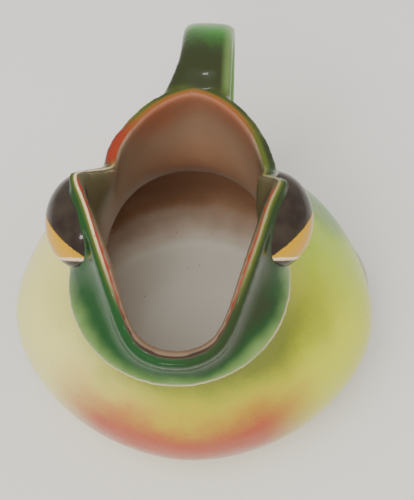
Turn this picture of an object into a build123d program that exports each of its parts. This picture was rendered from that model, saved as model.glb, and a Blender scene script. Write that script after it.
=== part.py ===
from build123d import *
import math
import os

# A glazed earthenware cream jug in the shape of a sitting frog.
# Millimetres, +Z up. The origin is at the middle of the foot's underside. The frog faces -Y,
# its open mouth is the pouring lip, and the strap handle stands off its back at +Y.

# Overall sizes, which the rest follows
belly_half_width = 51.6
jaw_height = 78.0

# Body: the plan of each level, as half its width and how far it reaches in front of the origin and behind
foot_half_width = belly_half_width - 8.6
foot_forward = 39.5
foot_backward = 38.0
foot_fullness = 2.2
foot_round = 1.6
belly_height = 20.0
belly_forward = 47.5
belly_backward = 46.0
belly_middle = -5.0
belly_fullness = 1.82
shoulder_height = 45.0
shoulder_half_width = belly_half_width - 9.4
shoulder_forward = 42.5
shoulder_backward = 39.0
neck_height = jaw_height - 16.0
neck_half_width = 26.0
neck_forward = 36.0
neck_backward = 26.0
neck_middle = -6.0

# Head: the jaw is a round edge that overhangs the neck, and the lips rise from it to the mouth
jaw_radius = 27.0
jaw_middle = -19.6
jaw_spread = 116.0
cheek_share = 0.45
cheek_draw_in = 1.6
lip_height = jaw_height + 8.0
lip_forward = -44.8
mouth_corner_half_width = 25.9
mouth_corner_height = lip_height + 10.4
mouth_corner_y = 0.0
mouth_overrun = 3.0
crest_y = -1.5
notch_y = 6.5
notch_height = jaw_height + 9.4
head_offset = -1.8
head_twist = 2.5

# Throat: the narrower back of the mouth, behind a step in the rim at each eye
throat_half_width = 22.8
throat_backward = 37.2
throat_fullness = 1.75
throat_rear_height = jaw_height + 7.4
throat_start_y = 7.0
throat_waist_half_width = 23.4
throat_waist_backward = 33.0
throat_waist_fullness = 1.8
throat_waist_start_y = 4.0

# Walls
wall = 3.0
glaze = 0.5
floor_height = 5.0
floor_half_width = foot_half_width - 10.0
floor_forward = 30.4
floor_backward = 29.7
foot_ring_width = 4.0
foot_ring_depth = 1.6

# Hollow: extra thickness at the corner of the floor, where the lowest ring of the wall sits between
# foot and belly, and how many times its plain thickness the wall has where it leans and at the rim
floor_corner_fill = 4.0
heel_fill = 1.2
heel_share = 0.75
heel_rise = 0.6
hollow_belly_lift = 3.0
shoulder_lean = 1.15
neck_lean = 1.05
jaw_lean = 1.3
cheek_lean = 1.15
rim_taper = 0.76

# Handle: a flat strap from the rim down to the belly
handle_width = 13.8
handle_thickness = 5.0
handle_offset = 2.6
handle_reach = 61.6
handle_rise = 1.6
handle_bend_drop = 12.0
handle_grip_tuck = 2.5
handle_grip_drop = 4.0
handle_landing_height = 33.0
handle_landing_slope = 0.4
handle_bed = 5.0
handle_fullness = 3.2
root_flare = 4.2
root_drop = 5.2
root_bury = 6.0

# Eyes
eye_spacing = 2 * mouth_corner_half_width - 7.2
eye_y = -6.8
eye_height = jaw_height + 6.8
eye_radii = (9.8, 12.0, 8.8)
eye_dip = 18.0

# Hind legs: a folded thigh low on each flank, with the foot under it
thigh_radii = (11.0, 17.5, 15.0)
thigh_stand_off = 1.3
thigh_y = 5.0
thigh_height = 20.0
hind_foot_radii = (8.0, 17.0, 4.4)
hind_foot_y = -3.0
hind_foot_stand_off = 6.0

OUTLINE_STEPS = 16
FRONT_STEPS = 8
CLEAR = 20.0
ABOVE = mouth_corner_height + CLEAR
GROUND = 300.0


def rounded_outline(half_width, forward, backward, middle=0.0, front_fullness=2.0, back_fullness=2.0):
    """Plan points round an oval, from its front round its right side and back."""
    loop = []
    for step in range(2 * OUTLINE_STEPS):
        angle = math.pi * step / OUTLINE_STEPS
        in_front = math.cos(angle) > 0
        power = 2.0 / (front_fullness if in_front else back_fullness)
        reach = forward + middle if in_front else backward - middle
        across = math.copysign(abs(math.sin(angle)) ** power, math.sin(angle))
        along = math.copysign(abs(math.cos(angle)) ** power, math.cos(angle))
        loop.append((half_width * across, middle - reach * along))
    return loop


def inset(loop, amount):
    """The outline drawn in by an amount, square to itself at every point."""
    drawn_in = []
    for index, (x, y) in enumerate(loop):
        x_before, y_before = loop[index - 1]
        x_after, y_after = loop[(index + 1) % len(loop)]
        run, rise = x_after - x_before, y_after - y_before
        length = math.hypot(run, rise)
        drawn_in.append((x - amount * rise / length, y + amount * run / length))
    return drawn_in


def as_the_head_sits(x, y):
    """A plan point of the head, which sits a little turned and to one side of the body."""
    turn = math.radians(head_twist)
    across = x * math.cos(turn) - y * math.sin(turn)
    along = x * math.sin(turn) + y * math.cos(turn)
    return (across + head_offset, along)


def level(loop, height, slope=0.0, pivot=0.0):
    """The outline as a flat face at a height, tipped up towards +Y by a slope about y = pivot."""
    points = [Vector(x, y, height + slope * (y - pivot)) for x, y in loop]
    return Face(Wire([Edge.make_spline(points, periodic=True)]))


# Plan outlines of the outside
foot_outline = rounded_outline(foot_half_width, foot_forward, foot_backward, 0.0, foot_fullness)
belly_outline = rounded_outline(
    belly_half_width, belly_forward, belly_backward, belly_middle, belly_fullness
)
shoulder_outline = rounded_outline(
    shoulder_half_width, shoulder_forward, shoulder_backward, belly_middle, belly_fullness
)
neck_outline = rounded_outline(neck_half_width, neck_forward, neck_backward, neck_middle)

lip_slope = (mouth_corner_height - lip_height) / (mouth_corner_y - lip_forward)

# The mouth's right edge from the lip to its back corner, as shares of its half width and length:
# a blunt lip, nearly straight sides that open backwards, and a squared corner above each eye
mouth_shape = [
    (0.00, 0.00),
    (0.21, 0.02),
    (0.385, 0.08),
    (0.49, 0.17),
    (0.58, 0.30),
    (0.69, 0.48),
    (0.80, 0.66),
    (0.93, 0.87),
    (1.00, 1.02),
    (0.94, 1.11),
]


def throat_arch(half_width, start_y, backward, fullness):
    """The right half of the throat's arch, from where it starts to the middle of its back."""
    power = 2.0 / fullness
    steps = OUTLINE_STEPS - FRONT_STEPS - 2
    arch = []
    for step in range(steps + 1):
        angle = 0.5 * math.pi * step / steps
        reach = (backward - start_y) * math.sin(angle) ** power
        arch.append((half_width * abs(math.cos(angle)) ** power, start_y + reach))
    return arch


def both_sides(front, arch):
    """The whole outline of the head from its right side, the front turned with the face."""
    turned = [as_the_head_sits(x, y) for x, y in front]
    turned_left = [as_the_head_sits(-x, y) for x, y in reversed(front[1:])]
    arch_left = [(-x, y) for x, y in reversed(arch[:-1])]
    return turned + arch + arch_left + turned_left


def jaw_outline():
    """The round edge of the jaw in front, and the waist of the throat behind it."""
    front = []
    for step in range(FRONT_STEPS + 1):
        angle = math.radians(jaw_spread) * step / FRONT_STEPS
        front.append((jaw_radius * math.sin(angle), jaw_middle - jaw_radius * math.cos(angle)))
    arch = throat_arch(
        throat_waist_half_width, throat_waist_start_y, throat_waist_backward, throat_waist_fullness
    )
    last_x, last_y = front[-1]
    start_x, start_y = arch[0]
    front.append((0.5 * (last_x + start_x), 0.5 * (last_y + start_y)))
    return both_sides(front, arch)


def mouth_outline():
    """The outer edge of the lips in front, and the arch of the throat behind it."""
    length = mouth_corner_y - lip_forward
    half = mouth_corner_half_width
    front = [(half * across, lip_forward + length * along) for across, along in mouth_shape]
    arch = throat_arch(throat_half_width, throat_start_y, throat_backward, throat_fullness)
    return both_sides(front, arch)


def blended(first, second, share):
    """The outline part of the way from one to another."""
    pairs = zip(first, second)
    return [(x1 + share * (x2 - x1), y1 + share * (y2 - y1)) for (x1, y1), (x2, y2) in pairs]


def lower_body():
    """The outside from the foot up to the jaw."""
    sections = [
        level(inset(foot_outline, foot_round), 0.0),
        level(foot_outline, 2 * foot_round),
        level(belly_outline, belly_height),
        level(shoulder_outline, shoulder_height),
        level(neck_outline, neck_height),
        level(jaw_outline(), jaw_height),
    ]
    return loft(sections)


def cheek_outline():
    """The hollow of the cheeks, part of the way from the jaw up to the mouth."""
    return inset(blended(jaw_outline(), mouth_outline(), cheek_share), cheek_draw_in)


def head_sections(jaw_inset, cheek_inset, mouth_inset, overrun):
    """The levels of the head from the jaw to above the mouth, drawn in on a hollow."""
    cheek_height = jaw_height + cheek_share * (lip_height - jaw_height)
    mouth = inset(mouth_outline(), mouth_inset)
    return [
        level(inset(jaw_outline(), jaw_inset), jaw_height),
        level(inset(cheek_outline(), cheek_inset), cheek_height, cheek_share * lip_slope, lip_forward),
        level(mouth, lip_height, lip_slope, lip_forward),
        level(mouth, lip_height + overrun, lip_slope, lip_forward),
    ]


def head():
    """The outside of the head, from the jaw's round edge to above the mouth."""
    return loft(head_sections(0.0, 0.0, 0.0, mouth_overrun))


def hollow(draw_in, overrun):
    """The hollow of the belly, neck and mouth, which runs on above the mouth."""
    floor = rounded_outline(floor_half_width, floor_forward, floor_backward)
    heel = blended(foot_outline, belly_outline, heel_share)
    heel_height = heel_rise * belly_height
    sections = [
        level(inset(floor, draw_in - wall), floor_height + draw_in - wall),
        level(inset(foot_outline, draw_in + floor_corner_fill), 0.5 * (floor_height + heel_height)),
        level(inset(heel, draw_in + heel_fill), heel_height),
        level(inset(belly_outline, draw_in), belly_height + hollow_belly_lift),
        level(inset(shoulder_outline, shoulder_lean * draw_in), shoulder_height),
        level(inset(neck_outline, neck_lean * draw_in), neck_height),
    ]
    insets = (jaw_lean * draw_in, cheek_lean * draw_in, rim_taper * draw_in)
    return loft(sections + head_sections(*insets, overrun))


def above_the_rim():
    """Everything over the mouth, whose edge rises to its corners and then drops to the throat."""
    front = lip_forward - CLEAR
    back = throat_backward + CLEAR
    fall = (notch_height - throat_rear_height) / (throat_backward - notch_y)
    outline = Polyline(
        (front, ABOVE),
        (front, lip_height + lip_slope * (front - lip_forward)),
        (crest_y, lip_height + lip_slope * (crest_y - lip_forward)),
        (notch_y, notch_height),
        (back, throat_rear_height - fall * (back - throat_backward)),
        (back, ABOVE),
        close=True,
    )
    return extrude(Plane.YZ * make_face(outline), amount=2 * jaw_radius, both=True)


def foot_recess():
    """The hollow under the foot, which leaves a ring to stand on."""
    edge = level(inset(foot_outline, foot_round + foot_ring_width), 0.0)
    return extrude(edge, amount=foot_ring_depth, dir=(0, 0, 1))


def strap(station, width, shift, path):
    """The handle's oval cross-section at one place along its path."""
    place = Plane(origin=path @ station, x_dir=(1, 0, 0), z_dir=path % station)
    half_thickness = handle_thickness / 2
    fullness = (handle_fullness, handle_fullness)
    loop = rounded_outline(width / 2, half_thickness, half_thickness, 0.0, *fullness)
    points = [place.from_local_coords(Vector(x + shift, y, 0)) for x, y in loop]
    return Face(Wire([Edge.make_spline(points, periodic=True)]))


def handle_strap():
    """The whole strap, whose two ends run into the body."""
    outer = handle_reach - handle_thickness / 2
    top = throat_rear_height + handle_rise - handle_thickness / 2
    grip = 0.5 * (top + handle_landing_height) - handle_grip_drop
    landing_y = belly_backward - handle_bed
    foot_y = landing_y - 2 * handle_bed
    path = Spline(
        (handle_offset, throat_waist_backward - root_bury, top - root_drop),
        (handle_offset, 0.5 * (throat_waist_backward + outer), top),
        (handle_offset, outer, top - handle_bend_drop),
        (handle_offset, outer - handle_grip_tuck, grip),
        (handle_offset, landing_y, handle_landing_height),
        (handle_offset, foot_y, handle_landing_height - handle_landing_slope * (landing_y - foot_y)),
    )
    stations = [
        (0.00, 1.2 * root_flare),
        (0.05, root_flare),
        (0.10, 0.5 * root_flare),
        (0.16, 0.1 * root_flare),
        (0.24, 0.0),
        (0.32, 0.0),
        (0.45, 0.0),
        (0.60, 0.0),
        (0.75, 0.0),
        (0.88, 0.4 * root_flare),
        (1.00, root_flare),
    ]
    return loft([strap(station, handle_width + flare, -flare / 2, path) for station, flare in stations])


def ellipsoid(radii, centre, dip=0.0):
    """A smooth egg of three radii about a centre, its front tipped down by an angle."""
    return Pos(*centre) * Rot(dip, 0, 0) * scale(Sphere(1.0), by=radii)


def eye(side):
    """The bulging eye on one side, +1 for right and -1 for left."""
    x, y = as_the_head_sits(side * eye_spacing / 2, eye_y)
    return ellipsoid(eye_radii, (x, y, eye_height), eye_dip)


def hind_leg(side):
    """The folded thigh on one flank and the foot in front of it."""
    share_back = (thigh_y - belly_middle) / (belly_backward - belly_middle)
    flank_x = belly_half_width * math.sqrt(1.0 - share_back**2)
    thigh_x = flank_x + thigh_stand_off - thigh_radii[0]
    foot_x = foot_half_width + hind_foot_stand_off - hind_foot_radii[0]
    thigh = ellipsoid(thigh_radii, (side * thigh_x, thigh_y, thigh_height))
    foot = ellipsoid(hind_foot_radii, (side * foot_x, hind_foot_y, hind_foot_radii[2]))
    ground = Pos(0, 0, -GROUND / 2) * Box(GROUND, GROUND, GROUND)
    return thigh + foot - ground


os.makedirs("parts", exist_ok=True)

rim_cut = above_the_rim()
filled = lower_body() + head()
wall_hollow = hollow(wall, 2 * mouth_overrun)
glazed_hollow = hollow(wall + glaze, 3 * mouth_overrun)
outside = filled - rim_cut

parts = {
    "jug_body": filled - wall_hollow - rim_cut - foot_recess(),
    "liner_glaze": wall_hollow - glazed_hollow - rim_cut,
    "handle": handle_strap() - outside,
    "left_eye": eye(-1) - outside - wall_hollow,
    "right_eye": eye(1) - outside - wall_hollow,
    "left_hind_leg": hind_leg(-1) - outside,
    "right_hind_leg": hind_leg(1) - outside,
}

for name, shape in parts.items():
    solids = sorted(shape.solids(), key=lambda solid: solid.volume)
    print(name, [round(solid.volume, 1) for solid in solids])
    export_step(solids[-1], f"parts/{name}.step")
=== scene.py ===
import math

import bpy
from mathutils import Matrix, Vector
from mathutils.bvhtree import BVHTree


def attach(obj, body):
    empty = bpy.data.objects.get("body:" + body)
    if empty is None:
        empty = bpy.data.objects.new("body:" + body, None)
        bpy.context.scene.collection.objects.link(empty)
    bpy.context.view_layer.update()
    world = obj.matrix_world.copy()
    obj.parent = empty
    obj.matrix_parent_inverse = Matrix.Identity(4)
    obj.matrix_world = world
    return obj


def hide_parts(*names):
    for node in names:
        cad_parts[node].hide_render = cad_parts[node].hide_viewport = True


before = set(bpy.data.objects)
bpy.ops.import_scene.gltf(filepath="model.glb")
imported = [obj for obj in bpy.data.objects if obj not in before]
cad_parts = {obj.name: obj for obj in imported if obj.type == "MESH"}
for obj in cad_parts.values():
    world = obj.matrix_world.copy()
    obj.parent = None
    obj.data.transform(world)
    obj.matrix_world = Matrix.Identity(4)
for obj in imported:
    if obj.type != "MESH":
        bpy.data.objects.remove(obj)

bl_info = {
    "name": "Glazed Frog Jug",
    "version": (1, 0, 0),
    "blender": (4, 5, 0),
    "location": "View3D > Sidebar > Frog Jug",
    "description": "Models and glazes an earthenware cream jug shaped as a sitting frog",
    "category": "Object",
}

MM = 0.001

# How steeply the mouth climbs from the lip to its corners, as a share of the way back
LIP_SLOPE = 0.232

# Direction of the flat inner side of an eye: outwards, and forwards as the mouth narrows
EYE_WALL_OUT, EYE_WALL_FORWARD = 0.946, -0.324

# Paler brown that clouds the lid, as a shader colour
LID_CLOUD = (0.035, 0.024, 0.014)

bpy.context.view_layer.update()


def srgb(red, green, blue):
    """A colour as a shader wants it, from the 0 to 255 steps of a paint chart."""
    chart = []
    for step in (red, green, blue):
        share = step / 255
        chart.append(share / 12.92 if share <= 0.04045 else ((share + 0.055) / 1.055) ** 2.4)
    return tuple(chart)


def colour(name, description, red, green, blue):
    """A colour a user can change."""
    return bpy.props.FloatVectorProperty(
        name=name, description=description, subtype="COLOR", size=3, min=0.0, max=1.0,
        default=srgb(red, green, blue),
    )


def length(name, description, millimetres):
    """A length a user can change."""
    return bpy.props.FloatProperty(
        name=name, description=description, unit="LENGTH", min=0.0, precision=5,
        default=millimetres * MM,
    )


# ---------------------------------------------------------------- what a user can change


class CastSizes(bpy.types.PropertyGroup):
    """How finely the cast piece is meshed, and how soft its edges are."""

    grain: length("Grain", "Size of the cast piece's mesh faces", 0.85)
    softening: bpy.props.IntProperty(
        name="Softening", description="Passes that round the cast edges under the glaze",
        default=7, min=0, max=40,
    )
    eye_bed: bpy.props.FloatProperty(
        name="Eye Bed", description="Size of the cast swelling under each eye, as a share of the eye",
        subtype="FACTOR", default=0.95, min=0.5, max=1.0,
    )
    jaw_height: length("Jaw Height", "Height of the round edge of the jaw above the table", 78.0)
    lip_height: length("Lip Height", "Height of the lip at the front of the mouth", 86.0)
    lip_y: length("Lip Reach", "How far the lip stands in front of the middle of the foot", 44.8)


class EyeSizes(bpy.types.PropertyGroup):
    """Size and place of the two enamelled eyes."""

    radii: bpy.props.FloatVectorProperty(
        name="Radii", description="Half width, half length and half height of an eye",
        subtype="XYZ", unit="LENGTH", size=3, default=(9.8 * MM, 12.0 * MM, 8.8 * MM),
    )
    spacing: length("Spacing", "Distance between the middles of the eyes", 44.6)
    back: bpy.props.FloatProperty(
        name="Place", description="Where the eyes sit along the head", unit="LENGTH", default=-6.8 * MM,
    )
    height: length("Height", "Height of the middle of an eye above the table", 84.8)
    dip: bpy.props.FloatProperty(
        name="Dip", description="How far the front of an eye tips down", subtype="ANGLE",
        default=math.radians(18.0),
    )
    head_offset: bpy.props.FloatProperty(
        name="Head Offset", description="How far the head sits to one side", unit="LENGTH",
        default=-1.8 * MM,
    )
    head_twist: bpy.props.FloatProperty(
        name="Head Twist", description="How far the head is turned", subtype="ANGLE",
        default=math.radians(2.5),
    )
    wall_cut: length("Wall Cut", "How deep into the wall an eye's flat inner side lies", 2.0)


class GlazeColours(bpy.types.PropertyGroup):
    """The colours sprayed on the jug under its clear glaze."""

    cream: colour("Cream", "Pale front of the belly", 226, 220, 122)
    yellow: colour("Yellow Green", "Flanks of the belly", 200, 206, 16)
    lime: colour("Lime", "Upper flanks of the belly", 150, 190, 2)
    leaf: colour("Leaf Green", "Upper flanks and back", 84, 140, 8)
    # Moss also deepens the belly under the jaw, partly sprayed green and partly painted shade under the
    # head's overhang
    moss: colour("Moss", "Sprayed shade under the jaw", 72, 84, 16)
    shadow_green: colour("Shadow Green", "Grey green inside the corners of the mouth", 64, 64, 38)
    bottle: colour("Bottle Green", "Deep green of the lips", 14, 66, 20)
    olive: colour("Olive", "Dark patches on the lips and handle", 38, 46, 14)
    # Sage is painted light: sky reflection on the lips above the jaw's edge, and a highlight along the
    # handle's right edge
    sheen_sage: colour("Sage", "Pale grey green above the jaw's edge", 120, 150, 80)
    blush: colour("Blush", "Orange band along the front of the belly", 170, 62, 2)
    terracotta: colour("Terracotta", "Blush along the belly and the line inside the rim", 160, 70, 30)
    rim_red: colour("Rim Red", "Thin line on the inner edge of the rim", 140, 38, 14)
    rim_cream: colour("Rim Cream", "Bare line where the glaze breaks over an edge", 238, 208, 160)
    # Handle Green is partly painted light where the handle's bend catches it
    handle_green: colour("Handle Green", "Bright green at the bend of the handle", 44, 136, 20)
    lining: colour("Lining", "White glaze on the floor of the jug", 250, 246, 228)
    # Tan, Dusk and the darkest brown at the back darken the white lining as painted shade inside the
    # hollow, warmed as a painted reflection of the orange rim
    tan: colour("Tan", "Stained lining on the walls", 196, 160, 126)
    dusk: colour("Dusk", "Grey brown of the lining up in the throat", 132, 108, 86)
    back_shade: colour("Stain", "Darkest stain at the back of the belly", 120, 66, 38)
    lid_brown: colour("Lid Brown", "Dark upper part of the eyes", 34, 22, 14)
    gold: colour("Gold", "Crescent under the lid", 196, 146, 0)


class StageSettings(bpy.types.PropertyGroup):
    """The floor, the light and the camera."""

    floor_colour: colour("Floor", "Pale table top", 232, 228, 222)
    floor_size: length("Floor Size", "Side of the square floor", 6000.0)
    key_power: bpy.props.FloatProperty(
        name="Key Light", description="Power of the large soft light", subtype="POWER",
        default=11.0, min=0.0,
    )
    fill_power: bpy.props.FloatProperty(
        name="Fill Light", description="Power of the light from the other side", subtype="POWER",
        default=2.4, min=0.0,
    )
    sky: bpy.props.FloatProperty(
        name="Sky", description="Strength of the light from all round", default=0.7, min=0.0,
    )


# ---------------------------------------------------------------- recipe steps for a glaze


class Recipe:
    """Steps of one material's node tree."""

    def __init__(self, name):
        self.material = bpy.data.materials.new(name)
        self.material.use_nodes = True
        self.tree = self.material.node_tree
        self.shader = self.tree.nodes["Principled BSDF"]

    def node(self, kind, **settings):
        made = self.tree.nodes.new(kind)
        for key, value in settings.items():
            setattr(made, key, value)
        return made

    def put(self, socket, value):
        """Feeds a socket with a number, a colour or another socket."""
        if isinstance(value, bpy.types.NodeSocket):
            self.tree.links.new(value, socket)
        elif socket.type == "RGBA":
            socket.default_value = (*value, 1.0)
        else:
            socket.default_value = value

    def place(self, middle=(0.0, 0.0, 0.0), turn=0.0):
        """Place on the piece in millimetres from a middle."""
        here = self.node("ShaderNodeTexCoord").outputs["Object"]
        moved = self.node("ShaderNodeMapping", vector_type="POINT")
        self.put(moved.inputs["Vector"], here)
        moved.inputs["Scale"].default_value = (1 / MM, 1 / MM, 1 / MM)
        moved.inputs["Location"].default_value = [-axis for axis in middle]
        if not turn:
            return moved.outputs["Vector"]
        turned = self.node("ShaderNodeMapping", vector_type="POINT")
        self.put(turned.inputs["Vector"], moved.outputs["Vector"])
        turned.inputs["Rotation"].default_value = (0.0, 0.0, turn)
        return turned.outputs["Vector"]

    def axes(self, vector):
        split = self.node("ShaderNodeSeparateXYZ")
        self.put(split.inputs[0], vector)
        return split.outputs["X"], split.outputs["Y"], split.outputs["Z"]

    def sum(self, operation, first, second=0.0, third=0.0):
        """One step of arithmetic."""
        made = self.node("ShaderNodeMath", operation=operation)
        for socket, value in zip(made.inputs, (first, second, third)):
            self.put(socket, value)
        return made.outputs[0]

    def fade(self, value, start, end):
        """0 before start, 1 after end, smooth between them."""
        made = self.node("ShaderNodeMapRange", interpolation_type="SMOOTHSTEP")
        low, high, first, last = (start, end, 0.0, 1.0) if start < end else (end, start, 1.0, 0.0)
        self.put(made.inputs["Value"], value)
        made.inputs["From Min"].default_value = low
        made.inputs["From Max"].default_value = high
        made.inputs["To Min"].default_value = first
        made.inputs["To Max"].default_value = last
        return made.outputs["Result"]

    def both(self, *shares):
        """All the shares multiplied together."""
        total = shares[0]
        for share in shares[1:]:
            total = self.sum("MULTIPLY", total, share)
        return total

    def spray(self, share, under, over):
        """The over colour on the under colour, as much as the share says."""
        made = self.node("ShaderNodeMix", data_type="RGBA", blend_type="MIX")
        self.put(made.inputs["Factor"], share)
        self.put([s for s in made.inputs if s.name == "A" and s.type == "RGBA"][0], under)
        self.put([s for s in made.inputs if s.name == "B" and s.type == "RGBA"][0], over)
        return [s for s in made.outputs if s.type == "RGBA"][0]

    def cloud(self, vector, size, detail=2.0, roughness=0.5):
        """Soft noise from 0 to 1 with lumps of a size in millimetres."""
        made = self.node("ShaderNodeTexNoise")
        self.put(made.inputs["Vector"], vector)
        made.inputs["Scale"].default_value = 1.0 / size
        made.inputs["Detail"].default_value = detail
        made.inputs["Roughness"].default_value = roughness
        return made.outputs["Fac"]

    def kept(self, name):
        """A number kept on the mesh, point by point."""
        return self.node("ShaderNodeAttribute", attribute_name=name).outputs["Fac"]

    def swell(self, height, depth, under=None):
        """A bump of a depth in millimetres."""
        made = self.node("ShaderNodeBump")
        made.inputs["Strength"].default_value = 1.0
        made.inputs["Distance"].default_value = depth * MM
        self.put(made.inputs["Height"], height)
        if under is not None:
            self.put(made.inputs["Normal"], under)
        return made.outputs["Normal"]

    def gloss(self, base, roughness, bump, coat=0.25):
        """Clear glossy glaze over the colour."""
        self.put(self.shader.inputs["Base Color"], base)
        self.put(self.shader.inputs["Roughness"], roughness)
        self.shader.inputs["Coat Weight"].default_value = coat
        self.shader.inputs["Specular IOR Level"].default_value = 0.35
        self.shader.inputs["Coat Roughness"].default_value = 0.06
        self.shader.inputs["Coat IOR"].default_value = 1.5
        self.put(self.shader.inputs["Normal"], bump)
        self.put(self.shader.inputs["Coat Normal"], bump)
        return self.material


def jug_glaze(colours, cast):
    """Airbrushed colours outside, stained white lining inside, all under clear gloss."""
    paint = Recipe("airbrushed_glaze")
    here = paint.place()
    x, y, z = paint.axes(here)
    broad = paint.sum("SUBTRACT", paint.cloud(here, 22.0, 3.0, 0.55), 0.5)
    mist = paint.sum("SUBTRACT", paint.cloud(here, 1.1, 2.0, 0.8), 0.5)
    wander = paint.sum("ADD", paint.sum("MULTIPLY", broad, 16.0), paint.sum("MULTIPLY", mist, 3.0))
    low = paint.sum("ADD", z, wander)
    side = paint.sum("ADD", x, wander)
    along = paint.sum("ADD", y, wander)

    # Belly: cream at the front left, yellow green at the right, leaf green over the back
    belly = paint.spray(paint.fade(side, -34.0, -2.0), colours.cream, colours.yellow)
    shoulder = paint.both(
        paint.fade(along, -14.0, 8.0), paint.fade(low, 18.0, 44.0), paint.fade(x, -44.0, 4.0),
    )
    belly = paint.spray(paint.sum("MULTIPLY", shoulder, 0.7), belly, colours.lime)
    back = paint.both(paint.fade(along, 8.0, 24.0), paint.fade(low, 8.0, 24.0))
    belly = paint.spray(back, belly, colours.leaf)
    nape = paint.both(paint.fade(along, 8.0, 26.0), paint.fade(low, 34.0, 60.0), 0.85)
    belly = paint.spray(nape, belly, colours.bottle)
    # Under the jaw: sprayed moss green deepened as painted shade under the head's overhang, weaker on the
    # left and strongest on the right
    under_jaw_shade = paint.both(paint.fade(low, 42.0, 55.0), paint.fade(y, 6.0, -26.0))
    jaw_shade_side = paint.sum("MULTIPLY_ADD", paint.fade(side, -34.0, -8.0), 0.5, 0.3)
    belly = paint.spray(paint.both(under_jaw_shade, jaw_shade_side), belly, colours.moss)
    blush_reach = paint.sum("ABSOLUTE", paint.sum("DIVIDE", paint.sum("ADD", x, 1.0), 38.0))
    blush_band = paint.both(
        paint.fade(low, 13.0, 23.0), paint.fade(low, 52.0, 33.0), paint.fade(y, -20.0, -34.0),
    )
    belly = paint.spray(paint.both(paint.fade(blush_reach, 1.1, 0.55), blush_band), belly, colours.blush)
    belly = paint.spray(paint.both(paint.fade(z, 11.0, 4.0), 0.7), belly, colours.rim_cream)

    # Legs
    leg = paint.fade(paint.sum("ADD", paint.kept("from_leg"), paint.sum("MULTIPLY", mist, 1.2)), 3.0, 0.0)
    leg_green = paint.spray(paint.fade(low, 5.0, 14.0), colours.leaf, colours.olive)
    belly = paint.spray(paint.sum("MULTIPLY", leg, 0.6), belly, leg_green)

    # Lips: deep green between the pale edge of the jaw and the rim. The pale grey green just above the
    # jaw's edge is a painted sky reflection, the darker right side is painted shade, and the pale edge of
    # the jaw is a painted highlight
    jaw = cast.jaw_height / MM
    rise = paint.sum("MULTIPLY_ADD", y, LIP_SLOPE, LIP_SLOPE * cast.lip_y / MM + cast.lip_height / MM - jaw)
    climb = paint.sum("DIVIDE", paint.sum("SUBTRACT", z, jaw), rise)
    patchy = paint.sum("ADD", climb, paint.sum("MULTIPLY", broad, 0.7))
    # Painted reflection: pale grey green low on the lips, near the jaw's edge
    lips = paint.spray(paint.fade(patchy, -0.1, 0.34), colours.sheen_sage, colours.bottle)
    right_shade = paint.both(paint.fade(side, -8.0, 14.0), paint.fade(patchy, 0.15, 0.6), 0.75)
    lips = paint.spray(right_shade, lips, colours.olive)
    patches = paint.both(paint.fade(broad, 0.02, 0.14), paint.fade(patchy, 0.1, 0.4), 0.6)
    lips = paint.spray(patches, lips, colours.olive)
    head_back = paint.fade(y, 4.0, 12.0)
    nape_tone = paint.spray(paint.fade(broad, -0.1, 0.15), colours.olive, colours.moss)
    lips = paint.spray(head_back, lips, nape_tone)
    over_jaw = paint.fade(paint.sum("ADD", z, paint.sum("MULTIPLY", mist, 0.5)), jaw - 0.3, jaw + 0.5)
    outside = paint.spray(over_jaw, belly, lips)
    # Painted highlight: a broken cream line along the jaw's round edge at the front
    edge = paint.fade(paint.sum("ABSOLUTE", paint.sum("SUBTRACT", z, jaw)), 0.85, 0.25)
    edge = paint.both(edge, paint.fade(y, 6.0, -4.0), paint.fade(broad, -0.3, 0.05))
    outside = paint.spray(paint.sum("MULTIPLY", edge, 0.6), outside, colours.rim_cream)

    # Handle: olive by the rim and bright green at the bend, partly its sprayed colours and partly painted
    # shade in the dip by the rim and painted light on the bend, with a pale painted highlight along the
    # strap's rounded right edge
    near_handle = paint.fade(paint.sum("ADD", paint.kept("from_handle"), mist), 2.4, 0.4)
    strap = paint.spray(paint.fade(along, 42.0, 54.0), colours.olive, colours.handle_green)
    # Painted highlight: pale grey green along the strap's rounded right edge
    strap = paint.spray(paint.both(paint.fade(x, 6.2, 8.6), 0.55), strap, colours.sheen_sage)
    outside = paint.spray(paint.both(near_handle, paint.fade(y, 29.0, 33.0)), outside, strap)

    # Rim, by how far it is from the lining in millimetres
    depth = paint.kept("from_lining")
    rim_top = paint.both(paint.fade(depth, 3.4, 2.2), paint.fade(z, 77.0, 80.0))
    front_rim = paint.fade(y, 9.0, 4.0)
    inner_edge = paint.both(paint.fade(depth, 2.0, 1.0), paint.fade(y, -34.0, -20.0))
    rim = paint.spray(inner_edge, lips, colours.moss)
    pale_left = paint.sum("MULTIPLY_ADD", paint.fade(side, 12.0, -8.0), 0.7, 0.3)
    pale = paint.both(paint.fade(depth, 1.15, 0.6), paint.fade(y, -34.0, -12.0), pale_left, front_rim)
    rim = paint.spray(paint.sum("MULTIPLY", pale, 0.8), rim, colours.rim_cream)
    rear_red = paint.both(paint.fade(y, 5.0, 9.0), paint.fade(y, 24.0, 15.0), paint.fade(x, -10.0, -15.0))
    rim = paint.spray(paint.sum("MULTIPLY", rear_red, 0.9), rim, colours.rim_red)
    rear_edge = paint.both(paint.fade(y, 14.0, 24.0), paint.fade(depth, 1.8, 0.7))
    rim = paint.spray(paint.sum("MULTIPLY", rear_edge, 0.55), rim, colours.terracotta)
    outside = paint.spray(rim_top, outside, rim)

    # Lining: white floor, tan walls turning grey brown up in the throat and darkest brown at the back, all
    # painted shade inside the hollow warmed as a painted reflection of the orange rim; terracotta under the
    # rear rim
    wall_tone = paint.spray(paint.fade(low, 30.0, 60.0), colours.tan, colours.dusk)
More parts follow.
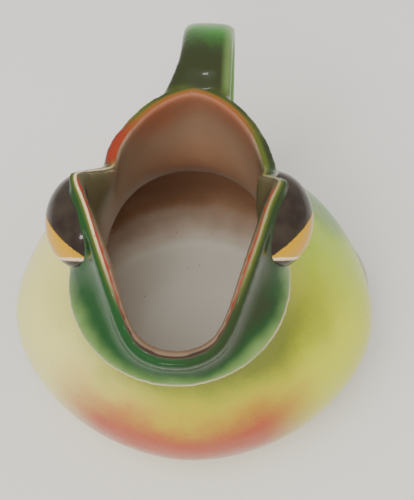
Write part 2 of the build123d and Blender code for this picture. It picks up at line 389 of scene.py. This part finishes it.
    # Painted shade: darkest brown low on the back wall of the belly, under the neck's overhang
    shaded_back_wall = paint.both(
        paint.fade(along, 4.0, 30.0), paint.fade(low, 6.0, 20.0), paint.fade(low, 84.0, 58.0),
    )
    wall_tone = paint.spray(paint.sum("MULTIPLY", shaded_back_wall, 0.7), wall_tone, colours.back_shade)
    floor_edge = paint.fade(paint.sum("ADD", z, paint.sum("MULTIPLY", broad, 5.0)), 5.4, 13.0)
    lining = paint.spray(floor_edge, colours.lining, wall_tone)
    rear_glow = paint.both(paint.fade(along, 10.0, 26.0), paint.fade(low, 75.0, 86.0))
    lining = paint.spray(paint.sum("MULTIPLY", rear_glow, 0.5), lining, colours.terracotta)
    corner_side = paint.fade(paint.sum("ABSOLUTE", paint.sum("ADD", x, 1.8)), 13.0, 19.0)
    corner = paint.both(
        corner_side, paint.fade(z, 72.0, 86.0), paint.fade(y, 16.0, 6.0), paint.fade(y, -24.0, -8.0),
    )
    lining = paint.spray(paint.sum("MULTIPLY", corner, 0.85), lining, colours.shadow_green)
    # The softened corners of the hollow stand off the lining: most at the floor, less up to the jaw
    inside = paint.fade(depth, 0.42, 0.22)
    waist_corner = paint.both(paint.fade(depth, 1.1, 0.7), paint.fade(z, 79.0, 77.0))
    floor_corner = paint.both(paint.fade(depth, 2.0, 1.6), paint.fade(z, 24.0, 20.0))
    inside = paint.sum("MAXIMUM", paint.sum("MAXIMUM", inside, waist_corner), floor_corner)
    finished = paint.spray(inside, outside, lining)

    # The thin red line on the rim's inner edge
    below = paint.sum("SUBTRACT", paint.sum("ADD", rise, jaw), z)
    thread = paint.both(paint.fade(depth, 0.42, 0.2), paint.fade(below, 0.7, 0.4), front_rim)
    thread_tone = paint.spray(paint.fade(y, -26.0, -38.0), colours.rim_red, colours.lid_brown)
    finished = paint.spray(paint.sum("MULTIPLY", thread, 0.9), finished, thread_tone)

    # Pinholes and stray specks in the glaze
    cells = paint.node("ShaderNodeTexVoronoi", feature="F1")
    paint.put(cells.inputs["Vector"], here)
    cells.inputs["Scale"].default_value = 1 / 5.0
    specks = paint.both(paint.fade(cells.outputs["Distance"], 0.07, 0.04), paint.fade(broad, 0.0, 0.12))
    finished = paint.spray(paint.sum("MULTIPLY", specks, 0.55), finished, colours.olive)

    ripple = paint.swell(paint.cloud(here, 14.0, 2.0), 0.55)
    skin = paint.swell(paint.cloud(here, 1.6, 2.0), 0.012, ripple)
    pits = paint.swell(paint.sum("SUBTRACT", 1.0, specks), 0.05, skin)
    rough = paint.sum("MULTIPLY_ADD", paint.cloud(here, 9.0, 3.0), 0.16, 0.2)
    rough = paint.sum("MULTIPLY_ADD", inside, 0.2, rough)
    return paint.gloss(finished, rough, pits)


def eye_enamel(colours, side, middle, turn):
    """Dark lid over a golden crescent, with a pale line and a dark corner under it."""
    paint = Recipe("eye_enamel_right" if side > 0 else "eye_enamel_left")
    here = paint.place(middle, -turn)
    x, y, z = paint.axes(here)
    mist = paint.sum("SUBTRACT", paint.cloud(here, 1.0, 2.0, 0.7), 0.5)
    outward = paint.sum("MULTIPLY", x, side)
    forward = paint.sum("MULTIPLY", y, -1.0)
    down = paint.sum("MULTIPLY", z, -1.0)
    ragged = paint.sum("MULTIPLY", mist, 0.5)
    lid = paint.sum("MULTIPLY_ADD", forward, 0.5, paint.sum("MULTIPLY_ADD", down, 0.66, ragged))
    lid = paint.sum("MULTIPLY_ADD", outward, 0.62, lid)
    cheek = paint.sum("MULTIPLY_ADD", forward, 0.86, paint.sum("MULTIPLY_ADD", down, 0.5, ragged))
    shade = paint.spray(paint.fade(paint.cloud(here, 5.0), 0.3, 0.7), colours.lid_brown, LID_CLOUD)
    tone = paint.spray(paint.fade(lid, 3.5, 3.9), shade, colours.gold)
    tone = paint.spray(paint.fade(cheek, 8.3, 8.6), tone, colours.rim_cream)
    tone = paint.spray(paint.fade(cheek, 9.0, 9.4), tone, shade)
    tone = paint.spray(paint.fade(cheek, 10.6, 11.2), tone, colours.leaf)
    strip = paint.fade(paint.sum("ADD", outward, ragged), -2.0, -3.0)
    tone = paint.spray(paint.sum("MULTIPLY", strip, 0.95), tone, colours.bottle)
    ripple = paint.swell(paint.cloud(here, 6.0, 2.0), 0.18)
    line = paint.swell(paint.fade(lid, 3.5, 3.9), 0.12, ripple)
    return paint.gloss(tone, paint.sum("MULTIPLY_ADD", mist, 0.05, 0.14), line)


def table_top(stage):
    """Pale painted table."""
    paint = Recipe("pale_table")
    here = paint.place()
    darker = [0.94 * share for share in stage.floor_colour]
    tone = paint.spray(paint.cloud(here, 60.0, 4.0, 0.6), stage.floor_colour, darker)
    paint.put(paint.shader.inputs["Base Color"], tone)
    paint.shader.inputs["Roughness"].default_value = 0.55
    paint.put(paint.shader.inputs["Normal"], paint.swell(paint.cloud(here, 3.0, 3.0), 0.05))
    return paint.material


# ---------------------------------------------------------------- modelling helpers


def nothing_selected():
    if bpy.context.object and bpy.context.object.mode != "OBJECT":
        bpy.ops.object.mode_set(mode="OBJECT")
    bpy.ops.object.select_all(action="DESELECT")


def only(obj):
    """Selects one object alone and makes it active."""
    nothing_selected()
    obj.select_set(True)
    bpy.context.view_layer.objects.active = obj


def merged_copy(node, name):
    """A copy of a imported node's mesh with its loose triangles joined up."""
    copy = bpy.data.objects.new(name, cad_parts[node].data.copy())
    bpy.context.scene.collection.objects.link(copy)
    copy.data.materials.clear()
    only(copy)
    bpy.ops.object.mode_set(mode="EDIT")
    bpy.ops.mesh.select_all(action="SELECT")
    bpy.ops.mesh.remove_doubles(threshold=0.002 * MM)
    bpy.ops.object.mode_set(mode="OBJECT")
    return copy


def apply_modifier(obj, kind, **settings):
    only(obj)
    made = obj.modifiers.new(kind.title(), kind)
    for key, value in settings.items():
        setattr(made, key, value)
    bpy.ops.object.modifier_apply(modifier=made.name)


def shrink_about(obj, middle, share):
    """Makes a piece smaller about a point."""
    only(obj)
    bpy.ops.object.mode_set(mode="EDIT")
    bpy.ops.mesh.select_all(action="SELECT")
    bpy.ops.transform.resize(value=(share, share, share), center_override=middle)
    bpy.ops.object.mode_set(mode="OBJECT")


def refine_above(obj, height):
    """Divides the faces above a height, where the rim's thin lines need a finer mesh."""
    only(obj)
    for face in obj.data.polygons:
        face.select = face.center.z > height
    bpy.context.tool_settings.mesh_select_mode = (False, False, True)
    bpy.ops.object.mode_set(mode="EDIT")
    bpy.ops.mesh.subdivide(number_cuts=1, smoothness=0.0)
    bpy.ops.mesh.vertices_smooth(factor=0.5, repeat=16)
    bpy.ops.object.mode_set(mode="OBJECT")


def keep_distance(obj, name, *nodes):
    """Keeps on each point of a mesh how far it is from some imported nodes, in millimetres."""
    trees = []
    for node in nodes:
        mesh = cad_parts[node].data
        corners = [tuple(vertex.co) for vertex in mesh.vertices]
        trees.append(BVHTree.FromPolygons(corners, [tuple(face.vertices) for face in mesh.polygons]))
    kept = obj.data.attributes.new(name, "FLOAT", "POINT")
    for index, vertex in enumerate(obj.data.vertices):
        kept.data[index].value = min(tree.find_nearest(vertex.co)[3] for tree in trees) / MM


def finish_piece(obj, material, slot, *nodes):
    """Gives a piece its material and its place in the frame."""
    obj.data.materials.clear()
    obj.data.materials.append(material)
    only(obj)
    bpy.ops.object.shade_smooth()
    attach(obj, "root")
    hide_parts(*nodes)


def eye_middle(eyes, side):
    """Middle of one eye in millimetres, with the head turned and set to one side."""
    x = side * eyes.spacing / 2
    cos, sin = math.cos(eyes.head_twist), math.sin(eyes.head_twist)
    return (
        (x * cos - eyes.back * sin + eyes.head_offset) / MM,
        (x * sin + eyes.back * cos) / MM,
        eyes.height / MM,
    )


# ---------------------------------------------------------------- operators


class FROGJUG_OT_cast(bpy.types.Operator):
    """Casts the jug in one piece with its lining, handle and legs, and softens its edges"""

    bl_idname = "frogjug.cast"
    bl_label = "Cast Jug"

    def execute(self, context):
        sizes = context.scene.frog_cast
        cast = ("jug_body", "liner_glaze", "handle", "left_hind_leg", "right_hind_leg")
        copies = [merged_copy(node, f"cast_{node}") for node in (*cast, "left_eye", "right_eye")]
        for side, copy in zip((-1, 1), copies[-2:]):
            middle = [axis * MM for axis in eye_middle(context.scene.frog_eyes, side)]
            shrink_about(copy, middle, sizes.eye_bed)
        nothing_selected()
        for copy in copies:
            copy.select_set(True)
        context.view_layer.objects.active = copies[0]
        bpy.ops.object.join()
        jug = context.view_layer.objects.active
        jug.name = "cast_jug"
        apply_modifier(jug, "REMESH", mode="VOXEL", voxel_size=sizes.grain, adaptivity=0.0)
        apply_modifier(jug, "SMOOTH", factor=0.5, iterations=sizes.softening)
        refine_above(jug, sizes.lip_height - 5 * MM)
        keep_distance(jug, "from_lining", "liner_glaze")
        keep_distance(jug, "from_handle", "handle")
        keep_distance(jug, "from_leg", "left_hind_leg", "right_hind_leg")
        glaze = jug_glaze(context.scene.frog_colours, sizes)
        finish_piece(jug, glaze, "body_glaze", *cast)
        return {"FINISHED"}


class FROGJUG_OT_eyes(bpy.types.Operator):
    """Sets an enamelled eye into each side of the head"""

    bl_idname = "frogjug.eyes"
    bl_label = "Eyes"

    def execute(self, context):
        eyes = context.scene.frog_eyes
        for side, name in ((-1, "left_eye"), (1, "right_eye")):
            middle = eye_middle(eyes, side)
            nothing_selected()
            bpy.ops.mesh.primitive_uv_sphere_add(segments=96, ring_count=48, radius=1.0)
            eye = context.view_layer.objects.active
            eye.name = f"enamel_{name}"
            eye.scale = eyes.radii
            eye.rotation_euler = (eyes.dip, 0.0, 0.0)
            eye.location = [axis * MM for axis in middle]
            bpy.ops.object.transform_apply(location=True, rotation=True, scale=True)
            inner = Vector(middle) * MM - Vector((side * eyes.wall_cut, 0.0, 0.0))
            bpy.ops.object.mode_set(mode="EDIT")
            bpy.ops.mesh.select_all(action="SELECT")
            bpy.ops.mesh.bisect(
                plane_co=inner, plane_no=(side * EYE_WALL_OUT, EYE_WALL_FORWARD, 0.0),
                use_fill=True, clear_inner=True,
            )
            bpy.ops.mesh.select_all(action="SELECT")
            bpy.ops.mesh.normals_make_consistent(inside=False)
            bpy.ops.object.mode_set(mode="OBJECT")
            enamel = eye_enamel(context.scene.frog_colours, side, middle, eyes.head_twist)
            finish_piece(eye, enamel, "eye_enamel", name)
            bpy.ops.object.shade_smooth_by_angle(angle=math.radians(40))
        return {"FINISHED"}


class FROGJUG_OT_stage(bpy.types.Operator):
    """Lays the floor and sets the light and the camera"""

    bl_idname = "frogjug.stage"
    bl_label = "Stage"

    def execute(self, context):
        stage = context.scene.frog_stage
        nothing_selected()
        bpy.ops.mesh.primitive_plane_add(size=stage.floor_size, location=(0.0, 0.0, 0.0))
        floor = context.view_layer.objects.active
        floor.name = "floor"
        floor.data.materials.append(table_top(stage))
        # Each lamp's name, place, size and power, and whether the glaze mirrors it
        lights = (
            ("key_light", (-0.22, -0.36, 0.9), 0.8, stage.key_power, False),
            ("fill_light", (0.75, 0.2, 0.6), 0.8, stage.fill_power, False),
            ("rim_glint", (-0.15, -0.75, 0.75), 0.12, 0.3 * stage.fill_power, True),
            ("lip_glint", (-0.02, 0.12, 1.1), 0.05, 0.12 * stage.fill_power, True),
        )
        for name, place, size, power, mirrored in lights:
            light = bpy.data.lights.new(name, "AREA")
            light.energy = power
            light.size = size
            lamp = bpy.data.objects.new(name, light)
            context.scene.collection.objects.link(lamp)
            lamp.location = place
            lamp.visible_glossy = mirrored
            aim = Vector((0.0, 0.0, 0.05)) - Vector(place)
            lamp.rotation_euler = aim.to_track_quat("-Z", "Y").to_euler()
        world = context.scene.world or bpy.data.worlds.new("World")
        context.scene.world = world
        world.use_nodes = True
        sky = world.node_tree.nodes["Background"]
        sky.inputs["Color"].default_value = (1.0, 0.985, 0.96, 1.0)
        sky.inputs["Strength"].default_value = stage.sky
        self.camera(context)
        return {"FINISHED"}

    def camera(self, context):
        azimuth, elevation, roll = math.radians(5.1), math.radians(63.0), math.radians(2.42)
        aim = Vector((3.78, 5.75, 45.0)) * MM
        distance = 280.4 * MM
        back = Vector((
            math.sin(azimuth) * math.cos(elevation),
            -math.cos(azimuth) * math.cos(elevation),
            math.sin(elevation),
        ))
        lens = bpy.data.cameras.new("camera")
        lens.lens = 72.0
        lens.sensor_width = 36.0
        lens.clip_start = 0.01
        lens.clip_end = 20.0
        eye = bpy.data.objects.new("camera", lens)
        context.scene.collection.objects.link(eye)
        eye.location = aim + back * distance
        across = Vector((math.cos(azimuth), math.sin(azimuth), 0.0))
        up = back.cross(across)
        right = math.cos(roll) * across - math.sin(roll) * up
        top = math.sin(roll) * across + math.cos(roll) * up
        turn = eye.matrix_world.to_3x3()
        turn.col[0], turn.col[1], turn.col[2] = right, top, back
        eye.rotation_euler = turn.to_euler()
        context.scene.camera = eye


class FROGJUG_PT_sidebar(bpy.types.Panel):
    """The jug's sizes, colours and steps"""

    bl_idname = "FROGJUG_PT_sidebar"
    bl_label = "Frog Jug"
    bl_space_type = "VIEW_3D"
    bl_region_type = "UI"
    bl_category = "Frog Jug"

    def draw(self, context):
        column = self.layout.column()
        for name in GROUPS:
            group = getattr(context.scene, name)
            for key in group.bl_rna.properties.keys():
                if key not in {"rna_type", "name"}:
                    column.prop(group, key)
        for operator in STEPS:
            column.operator(operator.bl_idname)


STEPS = (FROGJUG_OT_cast, FROGJUG_OT_eyes, FROGJUG_OT_stage)
GROUPS = {
    "frog_cast": CastSizes,
    "frog_eyes": EyeSizes,
    "frog_colours": GlazeColours,
    "frog_stage": StageSettings,
}


def register():
    for kind in (*GROUPS.values(), *STEPS, FROGJUG_PT_sidebar):
        bpy.utils.register_class(kind)
    for name, group in GROUPS.items():
        setattr(bpy.types.Scene, name, bpy.props.PointerProperty(type=group))


def unregister():
    for name in GROUPS:
        delattr(bpy.types.Scene, name)
    for kind in (FROGJUG_PT_sidebar, *reversed(STEPS), *GROUPS.values()):
        bpy.utils.unregister_class(kind)


def main():
    register()
    bpy.ops.frogjug.cast()
    bpy.ops.frogjug.eyes()
    bpy.ops.frogjug.stage()


if __name__ == "__main__":
    main()
